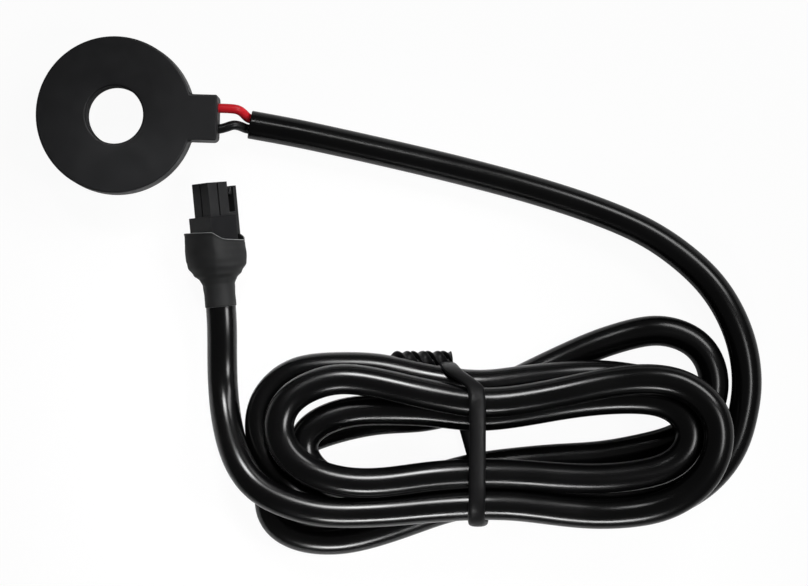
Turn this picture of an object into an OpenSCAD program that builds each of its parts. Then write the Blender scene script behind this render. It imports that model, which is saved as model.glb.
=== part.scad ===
// Solid-core current transformer: a potted ring head with a through hole for the
// conductor, two insulated leads, a jacketed two-core cable coiled in a hank and held
// by a flat twist tie, and a four-way receptacle plug in a heat-shrink boot.
// Millimetres. Origin on the through hole's axis at the back face, +Z out of the front
// face, +X along the tail. The cable and the plug lie on the plane of the back face.

/* [Head] */
// Outer diameter of the round head at its front face
head_d = 38; // [34:0.5:48]
// Height of the head from its back to its front face
head_h = 12.5; // [10.25:0.25:18]
// Diameter of the through hole
bore_d = 14; // [9:0.5:17]
// Thickness of the outer wall
wall = 1.5; // [1.2:0.1:2]
// Thickness of the front face
face_t = 1.4; // [1:0.1:2]
// Thickness of the wall round the through hole
bore_wall = 1.1; // [0.8:0.1:1.5]
// Growth of the outside from the front face to the back, for release from the mould
draft = 0.2; // [0.1:0.05:0.4]
// Radius of the front outer edge
edge_r = 0.5; // [0.2:0.1:0.8]
// Radius of the front rim of the through hole
rim_r = 0.5; // [0.2:0.1:0.8]

/* [Back cover] */
// Thickness of the cover that closes the back
cover_t = 1.2; // [0.8:0.1:2]
// Width of the ledge in the wall that the cover sits on
ledge = 0.7; // [0.5:0.1:0.9]
// Gap round the cover's edge
cover_gap = 0.1; // [0.05:0.05:0.2]

/* [Tail] */
// Width of the tail that the leads come out of
tail_w = 11.1; // [10:0.1:14]
// Length of the tail beyond the round head
tail_l = 5.9; // [5.6:0.1:7.4]
// Radius of the tail's upright end corners
tail_corner_r = 1.2; // [0.6:0.1:1.5]
// Radius of the fillets where the tail leaves the head
tail_fillet_r = 1.4; // [0.5:0.1:2]

/* [Wound core] */
// Gap between the wound core and the case, filled by the potting
pot_gap = 0.5; // [0.3:0.05:0.8]
// Thickness of the outer tape
tape_t = 0.25; // [0.1:0.05:0.4]
// Thickness of the secondary winding on the sides, top and bottom
winding_t = 1.2; // [0.8:0.1:1.5]
// Number of wire bundles that show round the winding
winding_bundles = 36; // [24:2:48]
// Wall of the two-part core box
core_box_t = 0.6; // [0.4:0.1:0.8]
// Gap between the strip core and its box
core_gap = 0.15; // [0.1:0.05:0.3]

/* [Leads] */
// Diameter over the insulation of each lead
lead_d = 2.3; // [1.8:0.1:2.6]
// Diameter of the stranded conductor
conductor_d = 1.1; // [0.8:0.1:1.3]
// Distance between the two leads where they leave the tail
lead_spacing = 5.1; // [4.5:0.1:5.4]
// Height of the leads above the back face where they leave the tail
lead_z = 6.25; // [5:0.25:8]
// Length of the leads that shows between the tail and the cable's jacket
lead_show_l = 7.7; // [6:0.1:10]
// Gap between a lead and its hole in the tail
lead_gap = 0.05; // [0.02:0.01:0.1]
// Length of each splice sleeve
splice_l = 3; // [2.5:0.1:3.5]
// Wall of each splice sleeve
splice_t = 0.4; // [0.3:0.05:0.5]
// Diameter of the winding's wire ends
magnet_wire_d = 0.6; // [0.4:0.1:0.8]

/* [Cable and tie] */
// Diameter of the cable's jacket
cable_d = 7; // [5.8:0.1:7.6]
// Height of the hank
hank_h = 22; // [18:0.5:24]
// Width of the tie's flat band
tie_w = 4.1; // [3:0.1:5]
// Thickness of the tie's flat band
tie_t = 1.8; // [1.4:0.1:2.2]
// Side of the tie's square steel wire
tie_wire_w = 0.7; // [0.5:0.1:0.9]
// Gap between the tie and the hank
tie_gap = 0.3; // [0.2:0.05:0.5]

/* [Plug] */
// Length of the mating part
plug_mate_l = 8.2; // [7:0.1:10]
// Height of the square collar's faces over the mating part
collar_rise = 1.05; // [0.6:0.05:1.2]
// Length of the collar
collar_l = 7.6; // [6:0.1:8]
// Distance between neighbouring contacts
pitch = 3.2; // [2.6:0.05:3.9]
// Thinnest wall round a contact cavity
tower_wall = 0.35; // [0.3:0.05:0.5]
// Width of the grooves that part the four towers
tower_gap = 0.4; // [0.3:0.05:0.6]
// Depth of the grooves that part the four towers
tower_groove = 0.75; // [0.4:0.05:0.9]
// Width of each square contact cavity
cavity_w = 2.2; // [1.8:0.1:2.3]
// Height of the latch arm over the mating part
latch_rise = 2; // [1.5:0.1:2.4]
// Thickness of the latch arm
latch_t = 1; // [0.8:0.1:1.2]
// Width of the latch arm
latch_w = 5.6; // [4:0.1:5.8]
// Gap round each contact in its cavity
contact_gap = 0.15; // [0.1:0.05:0.2]

/* [Boot] */
// Length of the heat-shrink boot
boot_l = 17; // [14:0.5:20.5]
// Wall of the boot over the cable
boot_neck_t = 0.35; // [0.25:0.05:0.6]
// Wall of the boot over the plug
boot_t = 0.5; // [0.3:0.05:0.6]
// Height of the boot's widest part over the collar's side corners
boot_bulge = 1.7; // [1.2:0.1:2]

/* [Hidden] */

$fn = 96;
slack = 1; // how far a cutter runs past the face that it cuts

bore_r = bore_d / 2;
head_r = head_d / 2;
tail_reach = head_r + tail_l; // from the through hole's axis to the tail's end
tube_r = bore_r + bore_wall; // outside of the wall round the through hole
cavity_top = head_h - face_t;
lead_y = lead_spacing / 2;

// Wound core: every layer is worked out from the space in the case.
pack_in = tube_r + pot_gap;
pack_out = head_r - wall - pot_gap;
pack_z0 = cover_t + pot_gap;
pack_z1 = cavity_top - pot_gap;
winding_edge_r = 0.9;

// Splices and leads inside the tail.
splice_r = conductor_d / 2 + splice_t;
splice_x0 = pack_out + 0.3;
splice_x1 = splice_x0 + splice_l;
splice_mid = (splice_x0 + splice_x1) / 2;
lead_x0 = splice_x1 + 0.1;

// The cable's route, in two stretches that aren't coiled: from the leads to the hank,
// and from the hank to the plug's boot. The cable, the tie and the plug are placed from
// the jacket's end, so they follow the tail when the head changes.
low = cable_d / 2; // height of the cable's middle where it lies on the ground
jacket_x = tail_reach + lead_show_l;
function from_jacket(points) = [for (p = points) p + [jacket_x, 0, 0]];
HEAD_LEAD = from_jacket([
    [0, -1.1, low], [3.4, -1.6, low], [12.9, -3.1, low], [31.9, -6.7, low],
    [50.9, -10.6, low], [69.9, -15.1, low], [86.4, -20, low], [99.9, -25.7, low],
    [111.9, -34.6, low], [118.4, -43.2, low], [122.2, -52.5, low], [123.4, -62, low]]);
PLUG_LEAD = from_jacket([
    [3.9, -88.5, 15.5], [0.4, -84, 13.8], [-2, -78.5, 10.6], [-3.6, -72.5, 7.2],
    [-4.6, -66, 4.8], [-5, -60, 4.2], [-5.1, -54, 5.6], [-5.2, -49, 6.6], [-5.6, -45.8, 6.6]]);

// The leads' routes from the tail to the jacket's end.
jacket_end = HEAD_LEAD[0];
lead_end_turn = atan2(HEAD_LEAD[1][1] - jacket_end[1], HEAD_LEAD[1][0] - jacket_end[0]);
function at_jacket(side, up, back) =
    [jacket_end[0] - back * cos(lead_end_turn) - side * sin(lead_end_turn),
     jacket_end[1] - back * sin(lead_end_turn) + side * cos(lead_end_turn),
     jacket_end[2] + up];
function in_gap(share, y, z) = [tail_reach + share * lead_show_l, y, z];
RED_ROUTE = [[lead_x0, lead_y, lead_z], [tail_reach - wall, lead_y, lead_z],
             [tail_reach + draft, lead_y, lead_z], in_gap(0.25, lead_y, lead_z),
             in_gap(0.5, lead_y - 0.1, lead_z - 0.3), in_gap(0.72, 1.6, lead_z - 1.4),
             at_jacket(1.35, 0.4, 0.9), at_jacket(1.35, 0.4, 0.4), at_jacket(1.35, 0.4, 0)];
BLACK_ROUTE = [[lead_x0, -lead_y, lead_z], [tail_reach - wall, -lead_y, lead_z],
               [tail_reach + draft, -lead_y, lead_z], in_gap(0.25, 0.45 - lead_y, lead_z),
               in_gap(0.5, -1.4, lead_z - 0.2), in_gap(0.72, -1.65, lead_z - 1.4),
               at_jacket(-1.15, 0.4, 0.9), at_jacket(-1.15, 0.4, 0.4), at_jacket(-1.15, 0.4, 0)];

// Hank: two lobes joined by a waist, each lobe the outline round two circles.
HANK_LEFT = [[jacket_x + 25.1, -81.1], 24.2];
HANK_LEFT_NECK = [[jacket_x + 40.4, -78.4], 20];
HANK_RIGHT = [[jacket_x + 103.9, -68.5], 22.6];
HANK_RIGHT_NECK = [[jacket_x + 77.4, -75.5], 21.3];

// Tie: a closed band in a plane that leans over the hank's waist.
tie_at = [jacket_x + 55.8, -76.85];
tie_lean = 9; // lean of the band's plane, front strand towards +X
tie_turn = 1.8; // turn of the band's plane about +Z
tie_span = 35.2; // inside length of the band, across the hank
tie_rise = hank_h - tie_t + tie_gap; // inside height of the band
tie_z = (tie_rise / 2 + tie_t) * cos(tie_lean) + tie_w / 2 * sin(tie_lean);
tie_corner_r = 6;
tie_tail_l = 20;
tie_tail_twist = 720;
twist_gap = 0.05; // half the gap between the two twisted ends
twist_r = sqrt(pow(tie_t / 2 + twist_gap, 2) + pow(tie_w / 2, 2)) + 0.2;

// Plug: its own frame has +Z towards the mating end, +X to the right and +Y down.
plug_at = PLUG_LEAD[len(PLUG_LEAD) - 1];
plug_turn = -atan2(plug_at[0] - PLUG_LEAD[len(PLUG_LEAD) - 2][0],
                   plug_at[1] - PLUG_LEAD[len(PLUG_LEAD) - 2][1]);
plug_roll = 47.3;
plug_w = pitch + cavity_w + 2 * tower_wall; // width of the square mating part
collar_w = plug_w + 2 * collar_rise;
contact_w = cavity_w - 2 * contact_gap;
collar_z0 = boot_l - 2.5;
collar_z1 = collar_z0 + collar_l;
plug_z1 = collar_z1 + plug_mate_l;
plug_jacket_l = 6.5;
latch_z0 = boot_l + 0.4;
latch_z1 = plug_z1 - 1.1;
barrel_z0 = collar_z0 + 0.9;
crimp_l = 3; // length of conductor that the barrel holds
core_side = 1.25; // distance of each core from the middle of the jacket
contact_z0 = collar_z0 + 5;
contact_z1 = plug_z1 - 1.2;
pin_slot_w = 1; // slot in each contact that takes the header's pin
hook_h = 0.9; // how far the latch's hook stands in from the arm
hook_ramp = 1.5; // length of the ramp on the hook
hook_back = 0.2; // length of the hook's steep back
hook_side = 0.8; // bare part of the arm on each side of the hook

// ---- Helpers ----

// Points of an arc from angle a0 to a1 round [cx, cy].
function arc(cx, cy, r, a0, a1, n = 6) =
    [for (i = [0:n]) [cx + r * cos(a0 + (a1 - a0) * i / n), cy + r * sin(a0 + (a1 - a0) * i / n)]];

// Point at share t of the curved piece from b to c, with a and d as its neighbours.
function blend(a, b, c, d, t) =
    0.5 * (2 * b + (c - a) * t + (2 * a - 5 * b + 4 * c - d) * t * t
           + (3 * b - a - 3 * c + d) * t * t * t);

// Route made smooth, with n steps between two neighbouring points.
function smooth(route, n) = let (last = len(route) - 1)
    [for (i = [0:last - 1], k = [0:n - 1])
         blend(route[max(i - 1, 0)], route[i], route[i + 1], route[min(i + 2, last)], k / n),
     route[last]];

function unit(v) = v / norm(v);
function heading(path, i) = unit(path[min(i + 1, len(path) - 1)] - path[max(i - 1, 0)]);

// Closed skin over rings of points, each ring with the same number of points.
module loft(rings) {
    n = len(rings[0]);
    m = len(rings);
    walls = [for (i = [0:m - 2], k = [0:n - 1]) let (j = (k + 1) % n)
                 [(i + 1) * n + k, (i + 1) * n + j, i * n + j, i * n + k]];
    ends = [[for (k = [0:n - 1]) k], [for (k = [n - 1:-1:0]) (m - 1) * n + k]];
    polyhedron([for (ring = rings) for (p = ring) p], concat(walls, ends), convexity = 6);
}

// Round tube swept along a path.
module sweep(path, d, sides) {
    loft([for (i = [0:len(path) - 1])
        let (t = heading(path, i), side = unit(cross([0, 0, 1], t)), up = cross(t, side))
        [for (k = [0:sides - 1]) let (a = 360 * k / sides)
            path[i] + d / 2 * (cos(a) * side + sin(a) * up)]]);
}

// Outline round two circles, each given as [centre, radius], with the first the larger.
module round_pair(a, b) {
    step = b[0] - a[0];
    turn = atan2(step[1], step[0]);
    lean = acos((a[1] - b[1]) / norm(step));
    polygon(concat(arc(a[0][0], a[0][1], a[1], turn + lean, turn + 360 - lean, 30),
                   arc(b[0][0], b[0][1], b[1], turn - lean, turn + lean, 20)));
}

// Ring of rectangular section.
module ring(r_in, r_out, z0, z1) {
    translate([0, 0, z0]) difference() {
        cylinder(h = z1 - z0, r = r_out);
        translate([0, 0, -slack]) cylinder(h = z1 - z0 + 2 * slack, r = r_in);
    }
}

// Ring whose section has round corners.
module soft_ring(r_in, r_out, z0, z1, r) {
    rotate_extrude() polygon(concat(
        arc(r_in + r, z0 + r, r, 180, 270), arc(r_out - r, z0 + r, r, 270, 360),
        arc(r_out - r, z1 - r, r, 0, 90), arc(r_in + r, z1 - r, r, 90, 180)));
}

// ---- Head ----

// Plan of the head and tail, drawn in from the front face's outline by inset.
module head_plan(inset) {
    circle(head_r - inset);
    translate([0, -tail_w / 2 + inset]) square([tail_reach - inset, tail_w - 2 * inset]);
}

// Outside of the round head, before it is hollowed.
module head_body() {
    rotate_extrude() polygon(concat([[0, 0], [head_r + draft, 0]],
        arc(head_r - edge_r, head_h - edge_r, edge_r, 0, 90), [[0, head_h]]));
}

// Outside of the tail: three profiles crossed, so that every outer edge is rounded.
module tail_body() {
    half = tail_w / 2;
    intersection() {
        rotate([90, 0, 90]) linear_extrude(tail_reach + draft)
            polygon(concat([[-half - draft, 0], [half + draft, 0]],
                arc(half - edge_r, head_h - edge_r, edge_r, 0, 90),
                arc(edge_r - half, head_h - edge_r, edge_r, 90, 180)));
        translate([0, tail_w, 0]) rotate([90, 0, 0]) linear_extrude(2 * tail_w)
            polygon(concat([[0, 0], [tail_reach + draft, 0]],
                arc(tail_reach - edge_r, head_h - edge_r, edge_r, 0, 90), [[0, head_h]]));
        linear_extrude(head_h) polygon(concat([[0, -tail_w], [0, -half - draft]],
            arc(tail_reach + draft - tail_corner_r, tail_corner_r - half - draft, tail_corner_r, 270, 360),
            arc(tail_reach + draft - tail_corner_r, half + draft - tail_corner_r, tail_corner_r, 0, 90),
            [[0, half + draft], [0, tail_w]]));
    }
}

// Fillets in plan between the head and the tail's two sides.
module tail_fillets() {
    y = tail_w / 2 + tail_fillet_r;
    x = sqrt(pow(head_r + tail_fillet_r, 2) - y * y);
    touch = head_r / (head_r + tail_fillet_r);
    for (side = [-1, 1]) difference() {
        linear_extrude(head_h - edge_r)
            polygon([[x * touch - 1, side * (tail_w / 2 - 1)], [x, side * (tail_w / 2 - 1)],
                     [x, side * tail_w / 2], [x, side * y], [x * touch, side * y * touch]]);
        translate([x, side * y, -slack]) cylinder(h = head_h + 2 * slack, r = tail_fillet_r);
    }
}

// The through hole with its rounded front rim.
module bore_cut() {
    rotate_extrude() polygon(concat([[0, -slack], [bore_r, -slack]],
        arc(bore_r + rim_r, head_h - rim_r, rim_r, 180, 90),
        [[bore_r + rim_r, head_h + slack], [0, head_h + slack]]));
}

// Space behind the front face, down to the ledge, and the wider seat of the cover.
module case_hollow() {
    difference() {
        union() {
            translate([0, 0, -slack]) linear_extrude(cavity_top + slack) head_plan(wall);
            translate([0, 0, -slack]) linear_extrude(cover_t + slack) head_plan(wall - ledge);
        }
        translate([0, 0, -2 * slack]) cylinder(h = head_h + 2 * slack, r = tube_r);
    }
}

module case() {
    color([0.15, 0.15, 0.16]) difference() {
        union() {
            head_body();
            tail_body();
            tail_fillets();
        }
        case_hollow();
        bore_cut();
        for (side = [-1, 1]) translate([tail_reach - wall - slack, side * lead_y, lead_z])
            rotate([0, 90, 0]) cylinder(h = wall + draft + 2 * slack, r = lead_d / 2 + lead_gap);
    }
}

module back_cover() {
    color([0.17, 0.17, 0.18]) difference() {
        linear_extrude(cover_t) head_plan(wall - ledge + cover_gap);
        translate([0, 0, -slack]) cylinder(h = cover_t + 2 * slack, r = tube_r + cover_gap);
    }
}

module potting() {
    color([0.12, 0.12, 0.13]) difference() {
        translate([0, 0, cover_t]) linear_extrude(cavity_top - cover_t) head_plan(wall);
        translate([0, 0, -slack]) cylinder(h = head_h + 2 * slack, r = tube_r);
        soft_ring(pack_in, pack_out, pack_z0, pack_z1, winding_edge_r + tape_t);
        for (side = [-1, 1]) translate([0, side * lead_y, lead_z]) rotate([0, 90, 0]) {
            translate([0, 0, pack_out - slack]) cylinder(h = 2 * slack, r = magnet_wire_d / 2);
            translate([0, 0, splice_x0]) cylinder(h = splice_l, r = splice_r);
            translate([0, 0, splice_x1 - slack]) cylinder(h = 2 * slack, r = conductor_d / 2);
            translate([0, 0, lead_x0]) cylinder(h = tail_reach, r = lead_d / 2 + lead_gap);
        }
    }
}

// ---- Wound core ----

winding_in = pack_in + tape_t;
winding_out = pack_out - tape_t;
winding_z0 = pack_z0 + tape_t;
winding_z1 = pack_z1 - tape_t;
box_in = winding_in + winding_t;
box_out = winding_out - winding_t;
box_z0 = winding_z0 + winding_t;
box_z1 = winding_z1 - winding_t;

module core() {
    inset = core_box_t + core_gap;
    color([0.55, 0.56, 0.6]) ring(box_in + inset, box_out - inset, box_z0 + inset, box_z1 - inset);
}

// Open channel that holds the strip core.
module core_tray() {
    color([0.8, 0.78, 0.7]) difference() {
        ring(box_in, box_out, box_z0, box_z1 - core_box_t);
        ring(box_in + core_box_t, box_out - core_box_t, box_z0 + core_box_t, box_z1 + slack);
    }
}

module core_lid() {
    color([0.86, 0.84, 0.76]) ring(box_in, box_out, box_z1 - core_box_t, box_z1);
}

// The wire lies in bundles round the core box, with a shallow groove between two bundles.
module winding() {
    groove_r = 0.35;
    color([0.72, 0.38, 0.16]) difference() {
        soft_ring(winding_in, winding_out, winding_z0, winding_z1, winding_edge_r);
        ring(box_in, box_out, box_z0, box_z1);
        for (i = [0:winding_bundles - 1]) rotate([0, 0, (i + 0.5) * 360 / winding_bundles])
            for (z = [winding_z0, winding_z1]) translate([winding_in - slack, 0, z])
                rotate([0, 90, 0]) cylinder(h = winding_out - winding_in + 2 * slack, r = groove_r, $fn = 24);
    }
}

module outer_tape() {
    color([0.85, 0.75, 0.25]) difference() {
        soft_ring(pack_in, pack_out, pack_z0, pack_z1, winding_edge_r + tape_t);
        soft_ring(winding_in, winding_out, winding_z0, winding_z1, winding_edge_r);
        for (side = [-1, 1]) wire_end(side, pack_out + slack);
    }
}

// One end of the winding's wire, from the winding's outside to x_end.
module wire_end(side, x_end) {
    difference() {
        translate([box_out, side * lead_y, lead_z]) rotate([0, 90, 0])
            cylinder(h = x_end - box_out, d = magnet_wire_d);
        cylinder(h = head_h, r = winding_out);
    }
}

module start_wire() { color([0.72, 0.38, 0.16]) wire_end(1, splice_mid); }
module finish_wire() { color([0.72, 0.38, 0.16]) wire_end(-1, splice_mid); }

// ---- Splices and leads ----

module splice(side) {
    translate([splice_x0, side * lead_y, lead_z]) rotate([0, 90, 0]) difference() {
        cylinder(h = splice_l, r = splice_r);
        translate([0, 0, -slack]) cylinder(h = splice_l / 2 + slack, d = magnet_wire_d);
        translate([0, 0, splice_l / 2]) cylinder(h = splice_l / 2 + slack, d = conductor_d);
    }
}

module splice_red() { color([0.75, 0.75, 0.78]) splice(1); }
module splice_black() { color([0.75, 0.75, 0.78]) splice(-1); }

module conductor(route) {
    bare = [[splice_mid, route[0][1], route[0][2]]];
    sweep(concat(bare, smooth(route, 3)), conductor_d, 10);
}

module conductor_red() { color([0.78, 0.42, 0.2]) conductor(RED_ROUTE); }
module conductor_black() { color([0.78, 0.42, 0.2]) conductor(BLACK_ROUTE); }

// Insulation of a lead, hollow for its conductor.
module insulation(route) {
    path = smooth(route, 3);
    last = len(path) - 1;
    past = path[last] + slack * unit(path[last] - path[last - 1]);
    difference() {
        sweep(path, lead_d, 14);
        sweep(concat([path[0] - [slack, 0, 0]], path, [past]), conductor_d, 10);
    }
}

module lead_red() { color([0.8, 0.08, 0.1]) insulation(RED_ROUTE); }
module lead_black() { color([0.05, 0.05, 0.05]) insulation(BLACK_ROUTE); }

// ---- Cable ----

module hank_plan() {
    round_pair(HANK_LEFT, HANK_LEFT_NECK);
    round_pair(HANK_RIGHT, HANK_RIGHT_NECK);
    translate([HANK_LEFT_NECK[0][0], tie_at[1] - tie_span / 2 + tie_gap])
        square([HANK_RIGHT_NECK[0][0] - HANK_LEFT_NECK[0][0], tie_span - 2 * tie_gap]);
}

module cable_hank() {
    color([0.05, 0.05, 0.06]) difference() {
        linear_extrude(hank_h) hank_plan();
        tie_frame() difference() {
            translate([0, 0, -(tie_w / 2 + tie_gap)]) linear_extrude(tie_w + 2 * tie_gap)
                square([2 * tie_span, 3 * tie_rise], center = true);
            translate([0, 0, -tie_w]) linear_extrude(2 * tie_w)
                band_plan(-tie_gap);
        }
        tail_frame() cylinder(h = tie_tail_l + tie_gap, r = twist_r + tie_gap);
    }
}

module cable_head_lead() {
    color([0.05, 0.05, 0.06]) difference() {
        sweep(HEAD_LEAD, cable_d, 12);
        linear_extrude(hank_h) hank_plan();
    }
}

module cable_plug_lead() {
    color([0.05, 0.05, 0.06]) difference() {
        sweep(PLUG_LEAD, cable_d, 12);
        linear_extrude(hank_h) hank_plan();
    }
}

module cable_plug_end() {
    color([0.05, 0.05, 0.06]) plug_frame() cylinder(h = plug_jacket_l, d = cable_d);
}

// ---- Tie ----

// The band's own frame: X runs across the hank, Y up, Z along the hank.
module tie_frame() {
    translate([tie_at[0], tie_at[1], tie_z]) rotate([0, 0, tie_turn])
        rotate([0, tie_lean, 0]) rotate([90, 0, 90]) children();
}

// Rounded outline of the band's inside, grown by grow.
module band_plan(grow) {
    w = tie_span / 2 - tie_corner_r;
    h = tie_rise / 2 - tie_corner_r;
    r = tie_corner_r + grow;
    polygon(concat(arc(w, h, r, 0, 90, 8), arc(-w, h, r, 90, 180, 8),
                   arc(-w, -h, r, 180, 270, 8), arc(w, -h, r, 270, 360, 8)));
}

// Closed band between two outlines grown from its inside, of the given width.
module band(from, to, width) {
    translate([0, 0, -width / 2]) linear_extrude(width) difference() {
        band_plan(to);
        band_plan(from);
    }
}

// Frame of the band's twisted ends, which lie along the hank's edge.
module tail_frame() {
    tie_frame() translate([tie_span / 2 + tie_t + 0.5, 3.5 - tie_rise / 2, 0]) rotate([180, 0, 40])
        children();
}

// The band's two ends, twisted round each other.
module twisted(size) {
    tail_frame()
        linear_extrude(tie_tail_l, twist = tie_tail_twist, slices = 32, $fn = 12)
            for (side = [-1, 1]) translate([side * (tie_t / 2 + twist_gap), 0])
                scale([size[0], size[1], 1]) circle(0.5, $fn = 12);
}

module tie_cover() {
    color([0.07, 0.07, 0.08]) difference() {
        union() {
            tie_frame() band(0, tie_t, tie_w);
            twisted([tie_t, tie_w]);
        }
        tie_frame() band((tie_t - tie_wire_w) / 2, (tie_t + tie_wire_w) / 2, tie_wire_w);
    }
}

module tie_wire() {
    color([0.6, 0.6, 0.62]) tie_frame()
        band((tie_t - tie_wire_w) / 2, (tie_t + tie_wire_w) / 2, tie_wire_w);
}

// ---- Plug ----

module plug_frame() {
    translate(plug_at) rotate([0, 0, plug_turn]) rotate([-90, 0, 0]) children();
}

module plug_rolled() { plug_frame() rotate([0, 0, -plug_roll]) children(); }

module square_bar(w, z0, z1) {
    translate([-w / 2, -w / 2, z0]) cube([w, w, z1 - z0]);
}

module plug_housing() {
    face = plug_w / 2;
    color([0.1, 0.1, 0.11]) plug_rolled() difference() {
        union() {
            square_bar(plug_w, collar_z1 - slack, plug_z1);
            square_bar(collar_w, collar_z0, collar_z1);
            latch();
        }
        // Grooves that part the four towers, one along the middle of each side.
        for (turn = [0, 90, 180, 270]) rotate([0, 0, turn])
            translate([face - tower_groove, -tower_gap / 2, collar_z1])
                cube([tower_groove + slack, tower_gap, plug_mate_l + slack]);
        // Four contact cavities, right through.
        for (x = [-1, 1], y = [-1, 1])
            translate([x * pitch / 2 - cavity_w / 2, y * pitch / 2 - cavity_w / 2, collar_z0 - slack])
                cube([cavity_w, cavity_w, plug_z1 - collar_z0 + 2 * slack]);
    }
}

// Latch arm on one side, with the web that it bends on, its hook and its two runners.
module latch() {
    face = plug_w / 2;
    arm_y = face + latch_rise;
    translate([-latch_w / 2, arm_y, latch_z0]) cube([latch_w, latch_t, latch_z1 - latch_z0]);
    translate([-latch_w / 2, face - 0.2, collar_z1 - 0.8]) cube([latch_w, latch_rise + 0.4, 1.6]);
    // Hook: a ramp on the arm's inner side that snaps behind the header's lug.
    ramp_z = latch_z1 - 0.4;
    in_arm = arm_y + 0.2;
    translate([latch_w / 2 - hook_side, 0, 0]) rotate([0, -90, 0])
        linear_extrude(latch_w - 2 * hook_side)
            polygon([[latch_z1, in_arm], [ramp_z, arm_y - 0.2],
                     [ramp_z - hook_ramp, arm_y - hook_h],
                     [ramp_z - hook_ramp - hook_back, in_arm]]);
}

// Crimp contact: a square box spring at the front and a round barrel on the wire.
module terminal(x, y) {
    color([0.8, 0.7, 0.4]) plug_rolled() translate([x * pitch / 2, y * pitch / 2, 0]) difference() {
        union() {
            square_bar(contact_w, contact_z0, contact_z1);
            translate([0, 0, barrel_z0]) cylinder(h = contact_z0 - barrel_z0, d = contact_w);
        }
        square_bar(pin_slot_w, contact_z0 + 1, contact_z1 + slack);
        translate([0, 0, barrel_z0 - slack]) cylinder(h = crimp_l + slack, d = conductor_d);
    }
}

module terminal_red() { terminal(1, -1); }
module terminal_black() { terminal(-1, -1); }

// A core of the cable inside the boot, from the jacket's end to its contact.
module plug_wire(x, y, side) {
    spot = pitch / 2 * [x * cos(plug_roll) + y * sin(plug_roll), y * cos(plug_roll) - x * sin(plug_roll)];
    color([0.6, 0.1, 0.1] * max(side, 0.1)) plug_frame() {
        hull() {
            translate([side * core_side, 0, plug_jacket_l]) cylinder(h = 0.2, d = contact_w, $fn = 24);
            translate([spot[0], spot[1], collar_z0 - 1]) cylinder(h = 0.2, d = contact_w, $fn = 24);
        }
        translate([spot[0], spot[1], collar_z0 - 0.8])
            cylinder(h = barrel_z0 - collar_z0 + 0.8, d = contact_w);
        translate([spot[0], spot[1], barrel_z0]) cylinder(h = crimp_l, d = conductor_d);
    }
}

module plug_wire_red() { plug_wire(1, -1, 1); }
module plug_wire_black() { plug_wire(-1, -1, -1); }

// ---- Boot ----

// Sections of the boot: share of its length, shares of the way from the neck's to the
// widest part's half width and half height, and squareness (2 is an ellipse, less is a
// diamond with soft corners).
BOOT = [[0, 0, 0, 2], [0.18, 0, 0, 2], [0.32, 0.02, 0.02, 2], [0.4, 0.2, 0.2, 1.9],
        [0.48, 0.58, 0.5, 1.75], [0.6, 0.92, 0.82, 1.6], [0.7, 0.98, 0.96, 1.5],
        [0.8, 1, 1, 1.45], [0.9, 0.96, 0.98, 1.45], [1, 0.92, 0.96, 1.45]];
neck_r = cable_d / 2 + boot_neck_t;
boot_wide = collar_w / sqrt(2) + boot_bulge;
boot_high = collar_w / sqrt(2) + 0.7;
boot_sides = 32;
neck_fit = 0.03; // gap between the jacket and the flats of the boot's neck
rim_lean = 0.85; // how much further the rim reaches on the left than in the middle

function spow(v, n) = sign(v) * pow(abs(v), 2 / n);
function boot_ring(row, t, past) = [for (k = [0:boot_sides - 1]) let (a = 360 * k / boot_sides,
    half_w = neck_r + row[1] * (boot_wide - neck_r), half_h = neck_r + row[2] * (boot_high - neck_r),
    x = (half_w - t) * spow(cos(a), row[3]), y = (half_h - t) * spow(sin(a), row[3]))
    [x, y, row[0] * boot_l + past - rim_lean * x / half_w * pow(row[0], 6)]];

module boot() {
    count = len(BOOT);
    outer = [for (row = BOOT) boot_ring(row, 0, 0)];
    inner = [for (i = [0:count - 1])
        boot_ring(BOOT[i], BOOT[i][1] < 0.1 ? boot_neck_t - neck_fit : boot_t,
                  i == 0 ? -slack : i == count - 1 ? slack : 0)];
    color([0.13, 0.13, 0.13]) plug_frame() difference() {
        loft(outer);
        loft(inner);
    }
}

// ---- Output ----

case();
back_cover();
potting();
core();
core_tray();
core_lid();
winding();
outer_tape();
start_wire();
finish_wire();
splice_red();
splice_black();
conductor_red();
conductor_black();
lead_red();
lead_black();
cable_head_lead();
cable_hank();
cable_plug_lead();
cable_plug_end();
tie_cover();
tie_wire();
boot();
plug_wire_red();
plug_wire_black();
terminal_red();
terminal_black();
plug_housing();
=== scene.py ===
"""Solid-core current transformer: a potted ring head, two leads, a two-core cable
lying in a hank under a flat twist tie, and a four-way plug in a heat-shrink boot.

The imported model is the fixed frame. Lengths here are metres, save in the tables
whose comments say millimetres."""

import math

import bmesh
import bpy
from bpy.props import FloatProperty, FloatVectorProperty, IntProperty, PointerProperty
from mathutils import Matrix, Vector, noise


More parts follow.
